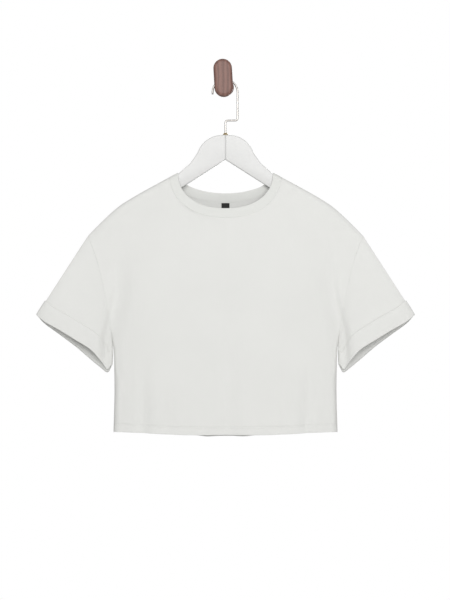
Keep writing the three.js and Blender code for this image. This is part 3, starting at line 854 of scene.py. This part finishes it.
class TSHIRT_OT_neck(bpy.types.Operator):
    """Builds the ribbed neckband and the plain neck label"""

    bl_idname = "tshirt.neck"
    bl_label = "Neckband and label"

    def execute(self, context):
        self.build_band()
        self.build_label()
        return {"FINISHED"}

    def build_band(self):
        g = garment_settings()
        edge = band_ring(NECKBAND / 2, 400)
        around = np.linalg.norm(np.diff(np.vstack([edge, edge[:1]]), axis=0), axis=1).sum()
        ribs = round(around / (g.rib_pitch / MM))
        count = ribs * COLUMNS_PER_RIB
        rings = np.stack([band_ring(step, count) for step in BAND_STEPS])
        normals = grid_normals(rings, True)
        steps = np.array(BAND_STEPS)
        to_seam = NECKBAND - steps
        puff = 0.3 * fold(steps / 2.5) * fold(to_seam / 4) - 0.15 * bell(to_seam / 0.8)
        edge_roll = -0.5 * (1 - fold(steps / 1.1))
        rib = np.cos(np.arange(count) / COLUMNS_PER_RIB * 2 * math.pi) * g.rib_relief / MM / 2
        stands = fold(steps / 3) * fold(to_seam / 1.5)
        lift = (puff + edge_roll)[:, None] + stands[:, None] * rib
        outer = offset_grid(rings, normals, lift)
        inner = offset_grid(rings, normals, np.full(rings.shape[:2], -1.3) - 0.5 * lift)
        obj = cloth_object("neck_rib", outer, inner, True, "rib")
        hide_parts("neckband")
        declare_sheet(rings, True)

    def build_label(self):
        top = NECK_POINT_Z - BACK_NECK_DROP - NECKBAND - 0.6
        u, v = np.meshgrid(np.linspace(-1, 1, 17), np.linspace(0, 1, 25))
        p = cloth_points(BACK, u * LABEL_WIDTH / 2, top - v * LABEL_HEIGHT)
        cloth = garment_settings().cloth / MM
        p[..., 1] -= cloth + 0.25 + 0.5 * np.sin(np.pi * v) ** 2 + 0.7 * v**2
        front = p - (0, LABEL_THICK, 0)
        obj = cloth_object("label_tape", front, p, False, "label")
        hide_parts("neck_label")
        declare_sheet(front, False)


# ---- stitching ----
def stitch_tree():
    """Stitches laid end to end along a polyline: each is a short round-ended piece of thread."""
    tree = bpy.data.node_groups.new("stitches", "GeometryNodeTree")
    face = tree.interface
    face.new_socket("Geometry", in_out="INPUT", socket_type="NodeSocketGeometry")
    for name in ("Pitch", "Length", "Thread"):
        face.new_socket(name, in_out="INPUT", socket_type="NodeSocketFloat")
    face.new_socket("Material", in_out="INPUT", socket_type="NodeSocketMaterial")
    face.new_socket("Geometry", in_out="OUTPUT", socket_type="NodeSocketGeometry")

    def add(kind, settings=None, **inputs):
        node = tree.nodes.new(kind)
        for key, value in (settings or {}).items():
            setattr(node, key, value)
        for key, value in inputs.items():
            socket = node.inputs[key.replace("_", " ")]
            if isinstance(value, bpy.types.NodeSocket):
                tree.links.new(value, socket)
            else:
                socket.default_value = value
        return node.outputs

    given = tree.nodes.new("NodeGroupInput").outputs
    line = add("GeometryNodeMeshToCurve", Mesh=given["Geometry"])["Curve"]
    by_length = {"mode": "LENGTH"}
    even = add("GeometryNodeResampleCurve", by_length, Curve=line, Length=given["Pitch"])["Curve"]
    tangent = add("GeometryNodeInputTangent")["Tangent"]
    turned = add("FunctionNodeAlignRotationToVector", {"axis": "X"}, Vector=tangent)["Rotation"]
    ball = add("GeometryNodeMeshUVSphere", Segments=8, Rings=5, Radius=0.5)["Mesh"]
    thread = given["Thread"]
    size = add("ShaderNodeCombineXYZ", X=given["Length"], Y=thread, Z=thread)["Vector"]
    stitch = add("GeometryNodeTransform", Geometry=ball, Scale=size)["Geometry"]
    placed = add("GeometryNodeInstanceOnPoints", Points=even, Instance=stitch, Rotation=turned)
    real = add("GeometryNodeRealizeInstances", Geometry=placed["Instances"])["Geometry"]
    rounded = add("GeometryNodeSetShadeSmooth", Geometry=real)["Geometry"]
    done = add("GeometryNodeSetMaterial", Geometry=rounded, Material=given["Material"])["Geometry"]
    tree.links.new(done, tree.nodes.new("NodeGroupOutput").inputs["Geometry"])
    return tree


NECK_STITCH_OFFSET = 2.4  # from the neckband's seam


def hem_stitch_line(layer, height):
    """A row of the hem's stitching, from side to side, just proud of its groove."""
    x = np.linspace(-SIDE[-1][0] + 3.5, SIDE[-1][0] - 3.5, 420)
    z = hem_z(layer, x) + height
    return cloth_points(layer, x, z, relief=-0.02)


class TSHIRT_OT_stitching(bpy.types.Operator):
    """Sews the hem's twin rows and the row beside the neckband"""

    bl_idname = "tshirt.stitching"
    bl_label = "Stitching"

    def execute(self, context):
        tree = stitch_tree()
        for layer, word in ((FRONT, "front"), (BACK, "back")):
            rows = [hem_stitch_line(layer, height) for height in HEM_STITCHES]
            self.sew(tree, f"hem_stitches_{word}", rows)
        ring = band_ring(NECKBAND + NECK_STITCH_OFFSET, 520, relief=-0.12)
        self.sew(tree, "neck_stitches", [np.vstack([ring, ring[:1]])])
        return {"FINISHED"}

    def sew(self, tree, name, rows):
        points, edges = [], []
        for row in rows:
            start = len(points)
            points += (row * MM).tolist()
            edges += [(start + i, start + i + 1) for i in range(len(row) - 1)]
        mesh = bpy.data.meshes.new(name + "_line")
        mesh.from_pydata(points, edges, [])
        guide = bpy.data.objects.new(name + "_line", mesh)
        bpy.context.scene.collection.objects.link(guide)
        modifier = guide.modifiers.new("stitches", "NODES")
        modifier.node_group = tree
        g = garment_settings()
        values = {
            "Pitch": g.stitch_pitch,
            "Length": g.stitch_length,
            "Thread": g.thread,
            "Material": material("thread"),
        }
        for item in tree.interface.items_tree:
            if item.in_out == "INPUT" and item.name in values:
                modifier[item.identifier] = values[item.name]
        evaluated = guide.evaluated_get(bpy.context.evaluated_depsgraph_get())
        sewn = bpy.data.meshes.new_from_object(evaluated)
        bpy.data.objects.remove(guide)
        new_object(name, sewn, "thread")


# ---- hanger ----
HANGER_UNDER_CLOTH = 3.6
ARM_LOW, ARM_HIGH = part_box("hanger_arm_right")
HANGER_TIP_X = ARM_HIGH.x / MM
HANGER_THICK = (ARM_HIGH.y - ARM_LOW.y) / MM
HANGER_TOP_Z = ARM_HIGH.z / MM
# (x, z) over the head of the hanger, from the middle to where the arm starts
HANGER_HEAD = (
    (0, HANGER_TOP_Z),
    (18, -102.6),
    (35, -109.5),
    (49, -123),
    (58, -140),
    (70, -156.5),
    (84, -169.5),
)
HANGER_NOTCH_Z = -150.5
HANGER_LOWER_SLOPE = 0.637
HANGER_JOINT = 0.15
HANGER_EDGE = 3.2
HOOK_SEAT = 0.3  # the hook and its collar stand this far over the wood
HOOK_RADIUS = (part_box("hanger_hook")[1].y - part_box("hanger_hook")[0].y) / 2 / MM
HOOK_ARC = (-0.8, -15.2, 25)  # x, z and radius
HOOK_STEP_Z = -72
HOOK_BEND = 5
HOOK_TIP_Z = -20  # end of the hook, just below its half circle
# (height, radius) round the collar
FERRULE_PROFILE = (
    (0, 2.2),
    (0, 4.6),
    (0.35, 5.2),
    (0.9, 5.2),
    (1.3, 4.7),
    (3.2, 3.6),
    (3.8, 3.2),
    (4, 2.8),
    (4, 2.2),
)


def extruded(name, outline, thick, edge, segments, finish):
    """A plate with a rounded edge. The outline is (x, z), and the plate is centred on y = 0."""
    bm = bmesh.new()
    near = [bm.verts.new((x * MM, -thick / 2 * MM, z * MM)) for x, z in outline]
    face = bm.faces.new(near)
    made = bmesh.ops.extrude_face_region(bm, geom=[face])
    far = [v for v in made["geom"] if isinstance(v, bmesh.types.BMVert)]
    bmesh.ops.translate(bm, verts=far, vec=(0, thick * MM, 0))
    bmesh.ops.recalc_face_normals(bm, faces=bm.faces)
    caps = [f for f in bm.faces if len(f.verts) == len(outline)]
    rims = [e for f in caps for e in f.edges]
    shape = {"offset": edge * MM, "segments": segments, "profile": 0.5}
    bmesh.ops.bevel(bm, geom=rims, affect="EDGES", clamp_overlap=True, **shape)
    mesh = bpy.data.meshes.new(name)
    bm.to_mesh(mesh)
    bm.free()
    return new_object(name, mesh, finish)


def lower_edge(x):
    """The point of the hanger's straight lower edge at x."""
    return x, HANGER_NOTCH_Z - x * HANGER_LOWER_SLOPE


def hanger_outline():
    """(x, z) of one arm: over its top from the middle to the tip, and back below."""
    top = TOP.run - (0, HANGER_UNDER_CLOTH)
    arm = top[(top[:, 0] > 97) & (top[:, 0] < HANGER_TIP_X - 14)]
    head = smooth_line((*HANGER_HEAD, arm[0]), 60).run[:-1]
    head[0, 0] = HANGER_JOINT
    end = arm[-1]
    tip = (HANGER_TIP_X, mix(end[1], lower_edge(HANGER_TIP_X)[1], 0.55))
    t = np.linspace(0, 1, 10)[1:, None]
    over = bend(end, (HANGER_TIP_X, end[1] - 9), tip, t)
    corner = (HANGER_TIP_X - 1, lower_edge(HANGER_TIP_X - 8)[1])
    under = bend(tip, corner, lower_edge(HANGER_TIP_X - 22), t)
    return np.vstack([head, arm[::3], over, under, lower_edge(HANGER_JOINT)])


def bend(a, b, c, t):
    """A quadratic curve from a to c with its corner at b."""
    a, b, c = (np.array(p, float) for p in (a, b, c))
    return a * (1 - t) ** 2 + b * 2 * t * (1 - t) + c * t**2


def hook_line():
    """The hook's centreline: up, a step to one side, up again and over in a half circle."""
    cx, cz, radius = HOOK_ARC
    foot, riser = (0, HANGER_TOP_Z + HOOK_SEAT), cx + radius
    corners = [foot, (0, HOOK_STEP_Z), (riser, HOOK_STEP_Z), (riser, cz)]
    run = [np.array(corners[0], float)]
    for before, corner, after in zip(corners, corners[1:], corners[2:]):
        before, corner, after = (np.array(p, float) for p in (before, corner, after))
        entry = corner + (before - corner) / np.linalg.norm(before - corner) * HOOK_BEND
        leave = corner + (after - corner) / np.linalg.norm(after - corner) * HOOK_BEND
        run += list(bend(entry, corner, leave, np.linspace(0, 1, 9)[:, None]))
    turn = np.linspace(0, math.pi, 40)
    run += [np.array((cx + radius * math.cos(a), cz + radius * math.sin(a))) for a in turn]
    run.append(np.array((cx - radius, HOOK_TIP_Z)))
    return resample(np.array(run), 170)


def swept(name, line, radius, sides, finish):
    """A round wire along an (x, z) line in the plane y = HANG_Y, with rounded ends."""
    tangent = np.gradient(line, axis=0)
    tangent = tangent / np.linalg.norm(tangent, axis=1, keepdims=True)
    normal = np.stack([-tangent[:, 1], tangent[:, 0]], -1)
    ends = np.array([0.35, 0.8])
    near_start, near_end = line[:1] + tangent[:1] * 0.2, line[-1:] - tangent[-1:] * 0.2
    line = np.vstack([line[:1], near_start, line[1:-1], near_end, line[-1:]])
    normal = np.vstack([normal[:1], normal[:1], normal[1:-1], normal[-1:], normal[-1:]])
    radii = np.full(len(line), radius)
    radii[:2] = radius * ends
    radii[-2:] = radius * ends[::-1]
    angle = np.arange(sides) / sides * 2 * math.pi
    ring = radii[:, None] * np.cos(angle)
    x = line[:, 0, None] + normal[:, 0, None] * ring
    z = line[:, 1, None] + normal[:, 1, None] * ring
    y = HANG_Y + radii[:, None] * np.sin(angle)
    points = np.stack([x, y, z], -1).reshape(-1, 3) * MM
    faces = [quad for r in range(len(line) - 1) for quad in ring_quads(r, r + 1, sides)]
    faces.append(tuple(range(sides - 1, -1, -1)))
    last = (len(line) - 1) * sides
    faces.append(tuple(range(last, last + sides)))
    mesh = bpy.data.meshes.new(name)
    mesh.from_pydata(points.tolist(), [], faces)
    face_outward(mesh)
    return new_object(name, mesh, finish)


def ring_quads(r, s, sides):
    """The quads that join ring r of points to ring s."""
    turn = [(c, (c + 1) % sides) for c in range(sides)]
    return [(r * sides + c, r * sides + d, s * sides + d, s * sides + c) for c, d in turn]


def face_outward(mesh):
    """Merges points that lie together, and turns every face to the outside."""
    bm = bmesh.new()
    bm.from_mesh(mesh)
    bmesh.ops.remove_doubles(bm, verts=bm.verts, dist=1e-7)
    bmesh.ops.recalc_face_normals(bm, faces=bm.faces)
    bm.to_mesh(mesh)
    bm.free()


def turned(name, profile, place, axis, sides, finish):
    """A solid turned from a (height, radius) profile. axis is Y or Z, and place its foot."""
    rings = []
    for height, radius in profile:
        for k in range(sides):
            a = 2 * math.pi * k / sides
            u, v = radius * math.cos(a), radius * math.sin(a)
            p = Vector((u, v, height)) if axis == "Z" else Vector((u, -height, v))
            rings.append((p + place) * MM)
    faces = []
    for r, (_, radius) in enumerate(profile):
        s = (r + 1) % len(profile)
        if radius or profile[s][1]:
            faces += ring_quads(r, s, sides)
    mesh = bpy.data.meshes.new(name)
    mesh.from_pydata([tuple(p) for p in rings], [], faces)
    face_outward(mesh)
    return new_object(name, mesh, finish)


class TSHIRT_OT_hanger(bpy.types.Operator):
    """Builds the two-part wooden hanger with its hook and collar"""

    bl_idname = "tshirt.hanger"
    bl_label = "Hanger"

    def execute(self, context):
        outline = hanger_outline()
        for side, mirror in (("right", 1), ("left", -1)):
            flat = outline * (mirror, 1)
            name = f"hanger_wood_{side}"
            arm = extruded(name, flat, HANGER_THICK, HANGER_EDGE, 6, "lacquer")
            arm.data.transform(Matrix.Translation((0, HANG_Y * MM, 0)))
            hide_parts(f"hanger_arm_{side}")
        wire = swept("hook_wire", hook_line(), HOOK_RADIUS, 20, "nickel")
        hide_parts("hanger_hook")
        foot = Vector((0, HANG_Y, HANGER_TOP_Z + HOOK_SEAT))
        collar = turned("hook_collar", FERRULE_PROFILE, foot, "Z", 40, "brass")
        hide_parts("hook_ferrule")
        return {"FINISHED"}


# ---- wall hook ----
KNOB_WIDTH = 37
KNOB_HEIGHT = 75
KNOB_EDGE = 7
KNOB_TILT = math.radians(-3.3)
FLANGE_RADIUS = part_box("wall_hook_stem")[1].x / MM
STEM_RADIUS = 7.8
FLANGE_THICK = 5


def knob_outline():
    half = KNOB_WIDTH / 2
    straight = KNOB_HEIGHT / 2 - half
    angle = np.linspace(0, math.pi, 33)
    arc = np.stack([half * np.cos(angle), straight + half * np.sin(angle)], -1)
    return np.vstack([arc, -arc])


class TSHIRT_OT_wall_hook(bpy.types.Operator):
    """Builds the capsule-shaped knob and the stem that fixes it to the wall"""

    bl_idname = "tshirt.wall_hook"
    bl_label = "Wall hook"

    def execute(self, context):
        low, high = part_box("wall_hook_knob")
        thick = (high.y - low.y) / MM
        knob = extruded("knob_wood", knob_outline(), thick, KNOB_EDGE, 10, "walnut")
        tilt = Matrix.Rotation(KNOB_TILT, 4, "Y")
        knob.data.transform(Matrix.Translation((low + high) / 2) @ tilt)
        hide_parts("wall_hook_knob")
        end = -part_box("wall_hook_stem")[0].y / MM
        profile = (
            (0, 0),
            (0, FLANGE_RADIUS - 0.6),
            (0.6, FLANGE_RADIUS),
            (FLANGE_THICK - 1.5, FLANGE_RADIUS),
            (FLANGE_THICK - 0.4, FLANGE_RADIUS - 0.5),
            (FLANGE_THICK, FLANGE_RADIUS - 1.5),
            (FLANGE_THICK, STEM_RADIUS + 1.2),
            (FLANGE_THICK + 0.4, STEM_RADIUS + 0.4),
            (FLANGE_THICK + 1.2, STEM_RADIUS),
            (end - 0.3, STEM_RADIUS),
            (end, STEM_RADIUS - 0.3),
            (end, 0),
        )
        stem = turned("stem_wood", profile, Vector((0, 0, 0)), "Y", 56, "walnut")
        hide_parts("wall_hook_stem")
        return {"FINISHED"}


# ---- studio ----
VIEW_CENTRE = Vector((-0.001, HANG_Y * MM, -0.431))
VIEW_DISTANCE = 3.0
VIEW_HEIGHT = 1.2
SENSOR = 36.0
FLOOR_Z = -1.45
SURROUND_LIGHT = 0.4  # of the white surround that is seen


class TSHIRT_OT_stage(bpy.types.Operator):
    """Sets up the camera, the lights, the pale surround and the floor"""

    bl_idname = "tshirt.stage"
    bl_label = "Studio"

    def execute(self, context):
        scene = context.scene
        scene.view_settings.view_transform = "Standard"
        scene.view_settings.look = "None"
        world = bpy.data.worlds.new("studio_white")
        world.use_nodes = True
        background = world.node_tree.nodes["Background"]
        background.inputs["Color"].default_value = (1, 1, 1, 1)
        rays = world.node_tree.nodes.new("ShaderNodeLightPath")
        strength = world.node_tree.nodes.new("ShaderNodeMapRange")
        strength.inputs["To Min"].default_value = SURROUND_LIGHT
        world.node_tree.links.new(rays.outputs["Is Camera Ray"], strength.inputs["Value"])
        world.node_tree.links.new(strength.outputs["Result"], background.inputs["Strength"])
        scene.world = world
        self.light("key", (-0.5, -2.7, 0.7), 1.8, 37.5)
        self.light("fill", (0.9, -2.6, 0.2), 1.6, 26.0)
        self.light("back", (0.3, 2.4, 0.6), 1.8, 34.0)
        self.floor()
        data = bpy.data.cameras.new("camera")
        data.sensor_width = SENSOR
        data.lens = SENSOR * VIEW_DISTANCE / VIEW_HEIGHT
        camera = bpy.data.objects.new("camera", data)
        camera.location = VIEW_CENTRE - Vector((0, VIEW_DISTANCE, 0))
        camera.rotation_euler = (math.pi / 2, 0, 0)
        scene.collection.objects.link(camera)
        scene.camera = camera
        return {"FINISHED"}

    def light(self, name, place, size, power):
        data = bpy.data.lights.new(name, "AREA")
        data.shape = "DISK"
        data.size = size
        data.energy = power
        obj = bpy.data.objects.new(name, data)
        obj.location = place
        aim = VIEW_CENTRE - Vector(place)
        obj.rotation_euler = aim.to_track_quat("-Z", "Y").to_euler()
        bpy.context.scene.collection.objects.link(obj)

    def floor(self):
        half, back = 2.2, 1.0
        corners = ((-half, -half), (half, -half), (half, back), (-half, back))
        mesh = bpy.data.meshes.new("floor")
        mesh.from_pydata([(*corner, FLOOR_Z) for corner in corners], [], [(0, 1, 2, 3)])
        shader = Shader("pale_floor", 0.8)
        speckle = shader.noise(shader.place(), 30.0)
        stops = ((0.3, (0.8, 0.8, 0.79)), (0.7, (0.83, 0.83, 0.82)))
        shader.out("Base Color", shader.ramp(speckle, stops))
        mesh.materials.append(shader.material)
        obj = bpy.data.objects.new("floor", mesh)
        bpy.context.scene.collection.objects.link(obj)


OPERATORS = (
    TSHIRT_OT_stage,
    TSHIRT_OT_body,
    TSHIRT_OT_sleeves,
    TSHIRT_OT_neck,
    TSHIRT_OT_stitching,
    TSHIRT_OT_hanger,
    TSHIRT_OT_wall_hook,
)


class TSHIRT_PT_build(bpy.types.Panel):
    """Lists the steps that build the t-shirt"""

    bl_idname = "TSHIRT_PT_build"
    bl_label = "T-shirt"
    bl_space_type = "VIEW_3D"
    bl_region_type = "UI"
    bl_category = "T-shirt"

    def draw(self, context):
        for settings in (context.scene.garment_settings, context.scene.hanger_settings):
            for name in settings.__annotations__:
                self.layout.prop(settings, name)
        for operator in OPERATORS:
            self.layout.operator(operator.bl_idname)


CLASSES = (GarmentSettings, HangerSettings, *OPERATORS, TSHIRT_PT_build)


def register():
    for cls in CLASSES:
        bpy.utils.register_class(cls)
    bpy.types.Scene.garment_settings = bpy.props.PointerProperty(type=GarmentSettings)
    bpy.types.Scene.hanger_settings = bpy.props.PointerProperty(type=HangerSettings)


def unregister():
    del bpy.types.Scene.hanger_settings
    del bpy.types.Scene.garment_settings
    for cls in reversed(CLASSES):
        bpy.utils.unregister_class(cls)


def main():
    register()
    for operator in OPERATORS:
        group, name = operator.bl_idname.split(".")
        getattr(getattr(bpy.ops, group), name)()


if __name__ == "__main__":
    main()
